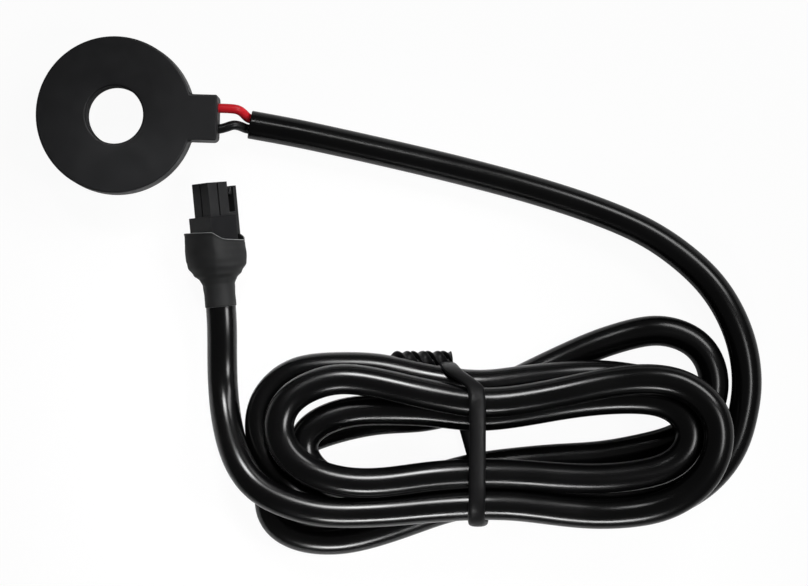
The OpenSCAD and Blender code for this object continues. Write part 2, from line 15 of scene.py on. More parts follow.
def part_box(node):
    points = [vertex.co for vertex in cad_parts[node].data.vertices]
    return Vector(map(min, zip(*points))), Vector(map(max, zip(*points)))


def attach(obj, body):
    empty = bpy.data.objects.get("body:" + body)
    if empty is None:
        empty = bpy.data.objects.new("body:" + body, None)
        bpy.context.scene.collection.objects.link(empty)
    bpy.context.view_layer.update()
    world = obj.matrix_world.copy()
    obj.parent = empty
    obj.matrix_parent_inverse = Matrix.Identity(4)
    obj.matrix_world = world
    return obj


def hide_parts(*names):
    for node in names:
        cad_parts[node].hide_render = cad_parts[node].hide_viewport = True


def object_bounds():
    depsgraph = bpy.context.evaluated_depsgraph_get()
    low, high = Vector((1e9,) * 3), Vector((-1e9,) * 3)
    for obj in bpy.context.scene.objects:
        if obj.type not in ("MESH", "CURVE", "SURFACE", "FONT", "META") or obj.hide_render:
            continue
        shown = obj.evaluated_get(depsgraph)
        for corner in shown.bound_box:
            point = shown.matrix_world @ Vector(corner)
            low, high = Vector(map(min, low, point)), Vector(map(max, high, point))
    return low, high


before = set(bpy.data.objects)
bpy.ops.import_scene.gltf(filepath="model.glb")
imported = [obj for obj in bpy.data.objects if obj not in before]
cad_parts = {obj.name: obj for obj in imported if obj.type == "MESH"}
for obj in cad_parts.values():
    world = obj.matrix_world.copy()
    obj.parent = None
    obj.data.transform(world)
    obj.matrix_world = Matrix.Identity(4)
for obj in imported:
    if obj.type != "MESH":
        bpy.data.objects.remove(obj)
CAD_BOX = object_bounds()

bl_info = {
    "name": "Current transformer",
    "version": (1, 0, 0),
    "blender": (4, 5, 0),
    "location": "View3D > Sidebar > Current transformer",
    "description": "Builds the looks of a ring current transformer round its frame",
    "category": "Object",
}

MM = 0.001
BODY = "root"

# Places that come from the frame.
TAIL_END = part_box("case")[1].x
JACKET_X = TAIL_END + 7.5 * MM  # the cable's jacket starts here

# Route of the cable where it isn't coiled, in metres, as the frame's source has it.
# X is measured from the jacket's end. The points were picked along a measured
# middle line, and the plug lead's first heights follow the hank's table below.
LOW = 0.0035
HEAD_LEAD = [
    (0, -0.0011, LOW), (0.0034, -0.0016, LOW), (0.0129, -0.0031, LOW),
    (0.0319, -0.0067, LOW), (0.0509, -0.0106, LOW), (0.0699, -0.0151, LOW),
    (0.0864, -0.020, LOW), (0.0999, -0.0257, LOW), (0.1119, -0.0346, LOW),
    (0.1184, -0.0432, LOW), (0.1222, -0.0525, LOW), (0.1234, -0.062, LOW),
]
PLUG_LEAD = [
    (0.0039, -0.0885, 0.0155), (0.0004, -0.084, 0.0138), (-0.002, -0.0785, 0.0106),
    (-0.0036, -0.0725, 0.0072), (-0.0046, -0.066, 0.0048), (-0.005, -0.060, 0.0042),
    (-0.0051, -0.054, 0.0056), (-0.0052, -0.049, 0.0066), (-0.0056, -0.0458, 0.0066),
]

# Lay of the hank in millimetres, X from the jacket's end. Each row is half a turn, from
# one pass through the tie to the next, and the rows climb from the floor to the top.
# The points aren't worked out here, nor chosen by hand: a separate program moved
# roughly placed strands apart until they cleared one another, and this is its result,
# rounded to half a millimetre. It is data and not a design, so a better version of this
# file would lay the turns with a loop.
HALF_TURNS = (
    ((122.5, -68, 3.5), (121, -75, 3.5), (116.5, -82.5, 3.5), (110, -88, 3.5),
     (102, -91.5, 3.5), (91.5, -93, 3.5), (78.5, -93, 4.5), (68, -91.5, 5)),
    ((57.5, -91.5, 5.5), (49.5, -93.5, 5), (42, -96.5, 4.5), (32.5, -100, 4),
     (24, -102, 3.5), (15, -101.5, 3.5), (9, -98.5, 3.5), (7, -94, 3.5), (8, -87.5, 3.5),
     (10, -82, 3.5), (14.5, -78, 3.5), (23.5, -74.5, 3.5), (34, -72, 4), (46, -71, 4.5)),
    ((58, -66.5, 5.5), (66, -62.5, 4), (77.5, -56.5, 3.5), (87, -52, 4), (94.5, -49.5, 4),
     (100.5, -48, 4), (106.5, -49, 3.5), (111.5, -51.5, 3.5), (114.5, -56, 3.5),
     (115.5, -61, 3.5), (115, -66, 3.5), (112.5, -70, 3.5), (109, -73.5, 3.5),
     (105, -75.5, 3.5), (97.5, -77.5, 3.5), (88, -79.5, 4), (76, -80.5, 4.5),
     (68, -81.5, 5)),
    ((58, -83, 5.5), (49.5, -85.5, 5), (39.5, -89, 4), (29, -92, 5), (21, -93, 6.5),
     (14.5, -91, 9), (9, -86, 10.5), (6, -81.5, 9.5), (4.5, -75, 8), (5, -69, 7.5),
     (8.5, -64, 7), (14, -60.5, 7.5), (24, -59.5, 8.5), (33.5, -59.5, 9.5),
     (43.5, -61.5, 11)),
    ((57.5, -63, 12), (67.5, -61.5, 11), (80, -60, 9.5), (87, -59.5, 8), (97, -60.5, 7.5),
     (107, -62.5, 8.5), (113, -65.5, 10.5), (115.5, -71, 10.5), (114.5, -77, 10),
     (108.5, -83.5, 9.5), (98, -87.5, 9), (88.5, -88.5, 9.5), (79, -88, 10),
     (67.5, -87, 11)),
    ((57.5, -87.5, 11.5), (47, -88, 11.5), (37, -88.5, 11.5), (26.5, -88.5, 11.5),
     (23, -88, 11), (19.5, -86, 11), (16.5, -83.5, 11), (15, -81, 11), (14.5, -78, 11),
     (16, -75, 11), (21, -72, 11), (27, -70, 11), (36.5, -69.5, 12), (46, -69.5, 12)),
    ((57, -70.5, 12), (68, -69, 12), (77.5, -67, 12), (87, -65.5, 12.5), (94, -65, 13),
     (100.5, -65, 13.5), (105.5, -66.5, 14), (108.5, -69.5, 14.5), (110, -73.5, 15),
     (108.5, -77.5, 15), (105, -81, 15.5), (100.5, -82.5, 15.5), (96, -83.5, 16),
     (87.5, -84.5, 16.5), (78, -84.5, 17), (68, -84, 17.5)),
    ((58, -84, 18), (46.5, -85, 18.5), (34.5, -87, 18.5), (25, -87, 18.5),
     (16.5, -84.5, 18), (11, -80, 17.5), (9, -74, 17), (11, -68, 16.5), (17, -64, 16),
     (24, -62, 16.5), (33.5, -63, 17), (43.5, -65, 18)),
    ((57.5, -67, 18.5), (67.5, -66, 18.5), (77, -64, 18.5), (87, -61.5, 18.5),
     (96.5, -60, 18.5), (105, -60.5, 18.5), (111, -63.5, 18.5), (115, -68, 18.5),
     (116, -74, 18.5), (114.5, -80, 18.5), (111.5, -85, 18), (104.5, -90, 17.5),
     (97.5, -92, 17), (87.5, -93, 16.5), (78, -92.5, 17), (68, -91.5, 17)),
    ((58.5, -91.5, 17.5), (47, -92.5, 17), (34.5, -94, 16.5), (20, -94.5, 16.5),
     (9, -91.5, 16)),
)

# Routes of the two leads in millimetres, X from the tail's end.
RED_ROUTE = ((-5, 2.55, 6.25), (-1.7, 2.55, 6.25), (0.2, 2.55, 6.25), (1.93, 2.55, 6.25),
             (4.5, 2.4, 6.0), (5.9, 1.7, 4.9), (7.1, 0.5, 3.95), (7.6, 0.3, 3.9),
             (8, 0.22, 3.9), (9.9, -0.06, 3.9))
BLACK_ROUTE = ((-5, -2.55, 6.25), (-1.7, -2.55, 6.25), (0.2, -2.55, 6.25),
               (1.93, -2.1, 6.25), (3.85, -1.4, 6.05), (5.54, -1.65, 4.85),
               (6.64, -2.11, 3.9), (7.14, -2.18, 3.9), (7.53, -2.24, 3.9),
               (9.51, -2.53, 3.9))

# Middle line of the tie's band in millimetres: across the hank from the band's middle,
# and up from the floor.
TIE_LOOP = ((0, 0.95), (8, 0.95), (13.5, 1.4), (17, 3.6), (18.4, 7.5), (18.4, 12),
            (17, 16.6), (14.2, 20.6), (10.6, 22.8), (6, 23.2), (0, 23.05), (-6, 22.75),
            (-11.5, 22.35), (-15.8, 21.1), (-18.6, 18.2), (-19.3, 14), (-19.3, 8),
            (-17.8, 3.8), (-14, 1.3), (-8, 0.95))

# Sections of the boot: share of its length, shares of the way from the neck's to the
# widest part's half width and half height, and squareness (2 is an ellipse, less is a
# diamond with soft corners).
BOOT_SECTIONS = ((0, 0, 0, 2), (0.18, 0, 0, 2), (0.32, 0.02, 0.02, 2),
                 (0.4, 0.2, 0.2, 1.9), (0.48, 0.58, 0.5, 1.75), (0.6, 0.92, 0.82, 1.6),
                 (0.7, 0.98, 0.96, 1.5), (0.8, 1, 1, 1.45), (0.9, 0.96, 0.98, 1.45),
                 (1, 0.92, 0.96, 1.45))

# The boot's cut edge: share of the half width to the right, and how far it runs forward
# in millimetres.
RIM_LEAN = ((-1, 1.55), (-0.1, 1.1), (0.1, 0.75), (0.45, -0.75), (1, -1.4))

# The plug's frame: +Z towards the mating end, +X to the right and +Y down.
PLUG_AT = Vector((JACKET_X - 5.6 * MM, -45.8 * MM, 6.6 * MM))
PLUG_TURN = math.radians(7.125)
PLUG_FRAME = (Matrix.Translation(PLUG_AT) @ Matrix.Rotation(PLUG_TURN, 4, "Z")
              @ Matrix.Rotation(math.radians(-90), 4, "X"))

# Place of the camera's axis, measured from the middle of the CAD box.
CAMERA_SHIFT = (1.3 * MM, 1.95 * MM)

# Strength of the room's own light, and shares of the plain white background that the
# camera and mirror rays see in the surroundings and on the floor.
ROOM_LIGHT = 0.07
ROOM_SHARES = (1.0, 0.05)
FLOOR_SHARES = (0.95, 0.05)

# Lamps: azimuth and angle from the vertical in degrees, distance from the point they
# face, width, height, watts, spread in degrees, and that point. Lengths are metres.
LAMPS = (
    ("lamp_back_right", 50, 51, 0.6, 0.16, 0.38, 2.4, 180, (0.10, -0.03, 0)),
    ("lamp_right", 0, 43, 0.32, 0.10, 0.10, 0.05, 46, (0.03, -0.067, 0)),
    ("lamp_back_left", 95, 42, 0.22, 0.11, 0.12, 0.042, 22, (0.045, -0.082, 0.018)),
    ("lamp_front", 270, 56, 0.22, 0.05, 0.14, 0.024, 22, (0.10, -0.098, 0)),
)


# ---- Settings ----

class HeadSettings(bpy.types.PropertyGroup):
    """Finish of the moulded head and of the two leads."""
    case_colour: FloatVectorProperty(
        name="Case colour", description="Colour of the moulded case", subtype="COLOR",
        size=3, min=0, max=1, default=(0.0092, 0.0093, 0.0102))
    case_roughness: FloatProperty(
        name="Case roughness", description="Roughness of the case's fine texture",
        subtype="FACTOR", min=0, max=1, default=0.48)
    red: FloatVectorProperty(
        name="Red lead", description="Colour of the red lead's insulation",
        subtype="COLOR", size=3, min=0, max=1, default=(0.54, 0.010, 0.018))
    lead_diameter: FloatProperty(
        name="Lead diameter", description="Diameter over each lead's insulation",
        subtype="DISTANCE", unit="LENGTH", min=0.001, max=0.004, default=0.0023)


class CableSettings(bpy.types.PropertyGroup):
    """Size and finish of the jacketed cable."""
    diameter: FloatProperty(
        name="Diameter", description="Diameter of the cable's jacket",
        subtype="DISTANCE", unit="LENGTH", min=0.004, max=0.01, default=0.007)
    flat_width: FloatProperty(
        name="Width on its flat", description="Width where the oval jacket lies on its flat",
        subtype="DISTANCE", unit="LENGTH", min=0.004, max=0.01, default=0.00735)
    edge_width: FloatProperty(
        name="Width on its edge", description="Width where the oval jacket stands on edge",
        subtype="DISTANCE", unit="LENGTH", min=0.004, max=0.01, default=0.0069)
    step: FloatProperty(
        name="Step", description="Distance between two rings of the jacket's mesh",
        subtype="DISTANCE", unit="LENGTH", min=0.0005, max=0.005, default=0.0011)
    sides: IntProperty(
        name="Sides", description="Number of faces round the jacket", min=12, max=64,
        default=44)
    colour: FloatVectorProperty(
        name="Jacket colour", description="Colour of the jacket", subtype="COLOR",
        size=3, min=0, max=1, default=(0.0012, 0.0012, 0.0013))
    roughness: FloatProperty(
        name="Jacket roughness", description="Roughness of the smooth jacket",
        subtype="FACTOR", min=0, max=1, default=0.22)


class TieSettings(bpy.types.PropertyGroup):
    """Size and place of the flat twist tie."""
    width: FloatProperty(
        name="Width", description="Width of the tie's band", subtype="DISTANCE",
        unit="LENGTH", min=0.002, max=0.008, default=0.0041)
    thickness: FloatProperty(
        name="Thickness", description="Thickness of the tie's band", subtype="DISTANCE",
        unit="LENGTH", min=0.0005, max=0.004, default=0.0018)
    lean: FloatProperty(
        name="Lean", description="Lean of the band's plane along the hank",
        subtype="ANGLE", min=0, max=0.6, default=math.radians(9))
    turn: FloatProperty(
        name="Turn", description="Turn of the band's plane about the vertical",
        subtype="ANGLE", min=-0.6, max=0.6, default=math.radians(1.8))
    twist: FloatProperty(
        name="Twist", description="How far the two ends are twisted round each other",
        subtype="ANGLE", min=0, max=30, default=math.radians(720))


class PlugSettings(bpy.types.PropertyGroup):
    """Size and finish of the plug and its boot."""
    boot_length: FloatProperty(
        name="Boot length", description="Length of the heat-shrink boot",
        subtype="DISTANCE", unit="LENGTH", min=0.01, max=0.03, default=0.017)
    boot_wall: FloatProperty(
        name="Boot wall", description="Thickness of the shrunk sleeve",
        subtype="DISTANCE", unit="LENGTH", min=0.0002, max=0.001, default=0.0005)
    edge: FloatProperty(
        name="Moulded edge", description="Radius of the housing's outer edges",
        subtype="DISTANCE", unit="LENGTH", min=0.00002, max=0.0004, default=0.0002)


class StudioSettings(bpy.types.PropertyGroup):
    """Camera, lamps and floor."""
    camera_height: FloatProperty(
        name="Camera height", description="Height of the camera over the floor",
        subtype="DISTANCE", unit="LENGTH", min=0.3, max=3, default=1.0)
    lens: FloatProperty(
        name="Lens", description="Focal length in millimetres", min=50, max=400,
        default=181.8)
    turn: FloatProperty(
        name="Camera turn", description="Turn of the camera about its own axis",
        subtype="ANGLE", min=-1, max=1, default=math.radians(1.7))
    floor_colour: FloatVectorProperty(
        name="Floor colour", description="Colour of the pale floor", subtype="COLOR",
        size=3, min=0, max=1, default=(0.86, 0.86, 0.86))
    lamp_strength: FloatProperty(
        name="Lamp strength", description="Strength of all the lamps together", min=0,
        max=10, default=1.0)


# ---- Shapes ----

def ease(value):
    """Share from 0 to 1 that starts and ends gently, and holds outside that range."""
    value = min(max(value, 0), 1)
    return value * value * (3 - 2 * value)


def soft(value, power):
    """Power of a sine or cosine that keeps its sign: under 1 it squares a section."""
    return math.copysign(abs(value) ** power, value)


def smooth_route(points, step):
    """Even points, one step apart, on the smooth curve through the given points."""
    last = len(points) - 1
    fine = []
    for i in range(last):
        a, b = points[max(i - 1, 0)], points[i]
        c, d = points[i + 1], points[min(i + 2, last)]
        pieces = max(2, round((c - b).length / (step / 3)))
        for k in range(pieces):
            t = k / pieces
            fine.append(0.5 * (2 * b + (c - a) * t + (2 * a - 5 * b + 4 * c - d) * t * t
                               + (3 * b - a - 3 * c + d) * t ** 3))
    fine.append(points[last])
    return even_steps(fine, step)


def even_steps(points, step):
    """The same line with its points one step apart."""
    total = sum((b - a).length for a, b in zip(points, points[1:]))
    count = max(1, round(total / step))
    gap = total / count
    even, gone, due = [points[0].copy()], 0.0, gap
    for a, b in zip(points, points[1:]):
        span = (b - a).length
        while span > 0 and gone + span >= due - 1e-9 and len(even) < count:
            even.append(a.lerp(b, (due - gone) / span))
            due += gap
        gone += span
    even.append(points[-1].copy())
    return even


def relax(points, passes):
    """The line with its small kinks taken out. Its ends stay."""
    for _ in range(passes):
        points = ([points[0]]
                  + [0.25 * a + 0.5 * b + 0.25 * c
                     for a, b, c in zip(points, points[1:], points[2:])]
                  + [points[-1]])
    return points


def length_of(points):
    """Length of the line through the points."""
    return sum((b - a).length for a, b in zip(points, points[1:]))


def heading(path, i, closed=False):
    """Direction of a path at one of its points."""
    count = len(path)
    if closed:
        return (path[(i + 1) % count] - path[(i - 1) % count]).normalized()
    return (path[min(i + 1, count - 1)] - path[max(i - 1, 0)]).normalized()


def skin(rings, sides, place, closed=False):
    """Tube made by wrapping a grid: place(ring, angle) gives each vertex. The seam is
    welded, open ends are closed, and the UV map runs along the tube and round it."""
    bm = bmesh.new()
    bm.loops.layers.uv.new("UVMap")
    columns = rings if closed else rings - 1
    bmesh.ops.create_grid(bm, x_segments=columns, y_segments=sides, size=0.5, calc_uvs=True)
    for v in bm.verts:
        ring = round((v.co.x + 0.5) * columns)
        side = round((v.co.y + 0.5) * sides) % sides
        v.co = place(ring % rings, math.tau * side / sides)
    bmesh.ops.remove_doubles(bm, verts=bm.verts, dist=1e-7)
    if not closed:
        bmesh.ops.holes_fill(bm, edges=[e for e in bm.edges if e.is_boundary], sides=0)
    bmesh.ops.recalc_face_normals(bm, faces=bm.faces)
    return bm


def tube(path, sides, half_width, half_height):
    """Tube along a path that never stands upright. The halves are functions of the
    ring's number and angle."""
    sideways = [Vector((0, 0, 1)).cross(heading(path, i)).normalized()
                for i in range(len(path))]
    upward = [heading(path, i).cross(s) for i, s in enumerate(sideways)]

    def place(ring, angle):
        return (path[ring] + sideways[ring] * (half_width(ring, angle) * math.cos(angle))
                + upward[ring] * (half_height(ring, angle) * math.sin(angle)))

    return skin(len(path), sides, place)


def new_piece(name, bm, material, sharp=math.radians(40)):
    """Object for a finished mesh, smooth but for its sharp edges, riding on the body."""
    mesh = bpy.data.meshes.new(name)
    bm.to_mesh(mesh)
    bm.free()
    mesh.shade_smooth()
    mesh.set_sharp_from_angle(angle=sharp)
    piece = bpy.data.objects.new(name, mesh)
    bpy.context.scene.collection.objects.link(piece)
    mesh.materials.append(material)
    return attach(piece, BODY)


def merged_copy(node):
    """Bmesh of a CAD node with its loose triangles welded and flat areas made whole."""
    bm = bmesh.new()
    bm.from_mesh(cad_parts[node].data)
    bmesh.ops.remove_doubles(bm, verts=bm.verts, dist=1e-6)
    bmesh.ops.dissolve_limit(bm, angle_limit=math.radians(0.2), verts=bm.verts,
                             edges=bm.edges)
    return bm


def bevel_modifier(piece, width):
    """Rounded edges of the given radius, wherever the faces turn sharply."""
    bevel = piece.modifiers.new("edges", "BEVEL")
    bevel.width = width
    bevel.segments = 2
    bevel.limit_method = "ANGLE"
    bevel.angle_limit = math.radians(35)
    bevel.harden_normals = True


# ---- Finishes ----

class Finish:
    """Material whose nodes are added one after another round a Principled shader."""

    def __init__(self, name, colour, roughness, metallic=0.0, specular=0.5):
        self.material = bpy.data.materials.new(name)
        self.material.use_nodes = True
        self.nodes = self.material.node_tree.nodes
        self.links = self.material.node_tree.links
        self.shader = self.nodes["Principled BSDF"]
        self.set("Base Color", (*colour, 1))
        self.set("Roughness", roughness)
        self.set("Metallic", metallic)
        self.set("Specular IOR Level", specular)
        self.colour, self.roughness = colour, roughness
        self.normal = None

    def set(self, socket, value):
        self.shader.inputs[socket].default_value = value

    def add(self, kind, **values):
        node = self.nodes.new(kind)
        for key, value in values.items():
            setattr(node, key, value)
        return node

    def cloud(self, size, detail=3.0, stretch=(1, 1, 1)):
        """Noise with patches of the given size in metres."""
        place = self.add("ShaderNodeTexCoord")
        mapping = self.add("ShaderNodeMapping")
        mapping.inputs["Scale"].default_value = stretch
        cloud = self.add("ShaderNodeTexNoise")
        cloud.inputs["Scale"].default_value = 1 / size
        cloud.inputs["Detail"].default_value = detail
        self.links.new(place.outputs["Object"], mapping.inputs["Vector"])
        self.links.new(mapping.outputs["Vector"], cloud.inputs["Vector"])
        return cloud.outputs["Fac"]

    def spread(self, source, low, high):
        """Source, which keeps near a half, spread over low to high."""
        spread = self.add("ShaderNodeMapRange")
        for socket, value in (("From Min", 0.3), ("From Max", 0.7), ("To Min", low),
                              ("To Max", high)):
            spread.inputs[socket].default_value = value
        self.links.new(source, spread.inputs["Value"])
        return spread.outputs["Result"]

    def mottle(self, size, share, **how):
        """Colour that wanders by a share of itself."""
        mix = self.add("ShaderNodeMix", data_type="RGBA")
        mix.inputs[6].default_value = (*[c * (1 - share) for c in self.colour], 1)
        mix.inputs[7].default_value = (*[c * (1 + share) for c in self.colour], 1)
        self.links.new(self.spread(self.cloud(size, **how), 0, 1), mix.inputs[0])
        self.links.new(mix.outputs[2], self.shader.inputs["Base Color"])
        return self

    def polish(self, size, reach, **how):
        """Roughness that wanders by the given reach."""
        self.links.new(
            self.spread(self.cloud(size, **how), self.roughness - reach,
                        self.roughness + reach),
            self.shader.inputs["Roughness"])
        return self

    def relief(self, size, height, **how):
        """Fine relief of the given height in metres, over any that is there."""
        bump = self.add("ShaderNodeBump")
        bump.inputs["Strength"].default_value = 1.0
        bump.inputs["Distance"].default_value = height
        self.links.new(self.cloud(size, **how), bump.inputs["Height"])
        if self.normal is not None:
            self.links.new(self.normal, bump.inputs["Normal"])
        self.normal = bump.outputs["Normal"]
        self.links.new(self.normal, self.shader.inputs["Normal"])
        return self


def moulded(name, colour, roughness, grain=0.00018, depth=0.00001):
    """Spark-textured moulded plastic."""
    return (Finish(name, colour, roughness, specular=0.3).mottle(0.006, 0.1)
            .polish(0.003, 0.05).relief(grain, depth).material)


def metal(name, colour, roughness):
    """Drawn or plated metal."""
    return (Finish(name, colour, roughness, metallic=1.0).mottle(0.0008, 0.12)
            .polish(0.0006, 0.08).relief(0.0002, 0.000004).material)


def paint_node(node, material):
    """The material on a CAD node that stays."""
    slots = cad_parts[node].data.materials
    slots.clear()
    slots.append(material)


# ---- Pieces ----

def cable_route(settings):
    """Whole route of the cable, from the jacket's end at the leads to the boot."""
    start = Vector((JACKET_X, 0, 0))
    points = [start + Vector(p) for p in HEAD_LEAD]
    for half_turn in HALF_TURNS:
        for p in half_turn:
            points.append(start + Vector(p) * MM)
    points += [start + Vector(p) for p in PLUG_LEAD]
    route = relax(smooth_route(points, settings.step), 22)
    inside = PLUG_FRAME @ Vector((0, 0, 6.5 * MM))  # the jacket goes on in the boot
    route.append(route[-1].lerp(inside, 0.5))
    return route + [inside]


class CURRENT_TRANSFORMER_OT_add_camera(bpy.types.Operator):
    """Adds the camera, which looks straight down on the part"""
    bl_idname = "current_transformer.add_camera"
    bl_label = "Add camera"

    def execute(self, context):
        settings = context.scene.ct_studio
        low, high = CAD_BOX
        middle = (Vector(low) + Vector(high)) / 2
        data = bpy.data.cameras.new("camera")
        data.lens = settings.lens
        data.sensor_width = 36
        camera = bpy.data.objects.new("camera", data)
        camera.location = (middle.x + CAMERA_SHIFT[0], middle.y + CAMERA_SHIFT[1],
                           settings.camera_height)
        camera.rotation_euler = (0, 0, settings.turn)
        context.scene.collection.objects.link(camera)
        context.scene.camera = camera
        return {"FINISHED"}


class CURRENT_TRANSFORMER_OT_lay_cable(bpy.types.Operator):
    """Lays the jacketed cable along its route, hank and all"""
    bl_idname = "current_transformer.lay_cable"
    bl_label = "Lay cable"

    def execute(self, context):
        settings = context.scene.ct_cable
        route = cable_route(settings)
        gone = [0.0]
        for a, b in zip(route, route[1:]):
            gone.append(gone[-1] + (b - a).length)
        turns_over, turn_length = 0.095, 0.03  # where the oval jacket rolls onto its flat
        lay_length = 0.05  # length in which the two cores go once round each other
        gripped, grip_ramp, squeeze = 6 * MM, 2 * MM, 0.12  # the boot's hold on its end
        rim_radius, wall, recess = 0.0002, 0.0006, 0.0003  # of the jacket's cut end

        def flatness(ring):
            return ease((gone[ring] - turns_over) / turn_length)

        def fullness(ring, angle):
            """The cores show faintly, and the boot squeezes the jacket's far end."""
            held = min(max((gone[ring] - gone[-1] + gripped) / grip_ramp, 0), 1)
            return (0.997 + 0.003 * math.cos(2 * angle - math.tau * gone[ring] / lay_length)
                    - squeeze * held)

        def half_width(ring, angle):
            flat = flatness(ring)
            wide = settings.edge_width * (1 - flat) + settings.flat_width * flat
            return fullness(ring, angle) * wide / 2

        def half_height(ring, angle):
            flat = flatness(ring)
            high = settings.diameter * (1 - flat) + settings.edge_width * flat
            return fullness(ring, angle) * high / 2

        bm = tube(route, settings.sides, half_width, half_height)

        def cut_end():
            """The flat face at the leads' end of the jacket."""
            return min((f for f in bm.faces if len(f.verts) > 4),
                       key=lambda f: (f.calc_center_median() - route[0]).length)

        bmesh.ops.bevel(bm, geom=list(cut_end().edges), offset=rim_radius,
                        offset_type="OFFSET", segments=3, profile=0.5, affect="EDGES",
                        material=-1)
        cut = cut_end()
        bmesh.ops.inset_region(bm, faces=[cut], thickness=wall)
        into = (route[1] - route[0]).normalized()
        bmesh.ops.translate(bm, verts=cut.verts, vec=into * recess)
        jacket = (Finish("cable_jacket", settings.colour, settings.roughness, specular=0.25)
                  .mottle(0.02, 0.15).polish(0.008, 0.02, detail=0.0)
                  .relief(0.007, 0.000003, detail=0.0))
        cable = new_piece("cable", bm, jacket.material)
        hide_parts("cable_head_lead", "cable_hank", "cable_plug_lead",
                    "cable_plug_end")
        tuple(route[0])
        round(length_of(route), 2)
        [tuple(p) for p in route]
        return {"FINISHED"}


class CURRENT_TRANSFORMER_OT_run_leads(bpy.types.Operator):
    """Runs the two insulated leads from the tail into the cable's jacket"""
    bl_idname = "current_transformer.run_leads"
    bl_label = "Run leads"

    def execute(self, context):
        settings = context.scene.ct_head
        radius = settings.lead_diameter / 2
        for name, table, colour in (("red", RED_ROUTE, tuple(settings.red)),
                                    ("black", BLACK_ROUTE, (0.004, 0.004, 0.004))):
            points = [Vector((TAIL_END - 0.2 * MM, 0, 0)) + Vector(p) * MM for p in table]
            path = relax(smooth_route(points, 0.0003), 6)
            bm = tube(path, 28, lambda ring, angle: radius, lambda ring, angle: radius)
            finish = (Finish("insulation_" + name, colour, 0.36, specular=0.2)
                      .mottle(0.002, 0.08).polish(0.001, 0.05).relief(0.0015, 0.000004))
            lead = new_piece("insulation_" + name, bm, finish.material)
            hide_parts("lead_" + name)
        return {"FINISHED"}


class CURRENT_TRANSFORMER_OT_mould_head(bpy.types.Operator):
    """Makes the moulded case, and finishes the cover, the potting and the wound core"""
    bl_idname = "current_transformer.mould_head"
    bl_label = "Mould head"

    def execute(self, context):
        settings = context.scene.ct_head
        plastic = moulded("case_plastic", tuple(settings.case_colour),
                          settings.case_roughness)
        shell = new_piece("case_shell", merged_copy("case"), plastic,
                          sharp=math.radians(25))
        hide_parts("case")
        paint_node("back_cover", moulded("cover_plastic", (0.018, 0.018, 0.019), 0.5))
        resin = (Finish("potting_resin", (0.01, 0.01, 0.011), 0.25).mottle(0.004, 0.2)
                 .polish(0.002, 0.1).relief(0.003, 0.00003))
        paint_node("potting", resin.material)
        paint_node("core", metal("strip_core", (0.5, 0.51, 0.54), 0.35))
        box = moulded("core_box_plastic", (0.62, 0.58, 0.46), 0.5)
        paint_node("core_tray", box)
        paint_node("core_lid", box)
        enamel = (Finish("enamelled_wire", (0.45, 0.13, 0.035), 0.25, metallic=0.8)
                  .mottle(0.001, 0.2).relief(0.0006, 0.00004, stretch=(1, 1, 0.2)))
        for node in ("winding", "start_wire", "finish_wire"):
            paint_node(node, enamel.material)
        tape = (Finish("polyester_tape", (0.7, 0.5, 0.06), 0.3).mottle(0.003, 0.1)
                .polish(0.002, 0.08).relief(0.004, 0.00003))
        paint_node("outer_tape", tape.material)
        sleeve = (Finish("splice_sleeve", (0.55, 0.55, 0.58), 0.3).mottle(0.001, 0.1)
                  .relief(0.0008, 0.00002))
        strands = metal("copper_strands", (0.72, 0.33, 0.16), 0.35)
        for name in ("red", "black"):
            paint_node("splice_" + name, sleeve.material)
            paint_node("conductor_" + name, strands)
        return {"FINISHED"}


def tie_frame(settings):
    """Frame of the band: X across the hank, Y up, Z along the hank."""
    low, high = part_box("tie_cover")
    middle = (58 * MM + JACKET_X - 2.2 * MM, -76.85 * MM, (low.z + high.z) / 2)
    return (Matrix.Translation(middle) @ Matrix.Rotation(settings.turn, 4, "Z")
            @ Matrix.Rotation(settings.lean, 4, "Y")
            @ Matrix.Rotation(math.radians(90), 4, "Z")
            @ Matrix.Rotation(math.radians(90), 4, "X"))


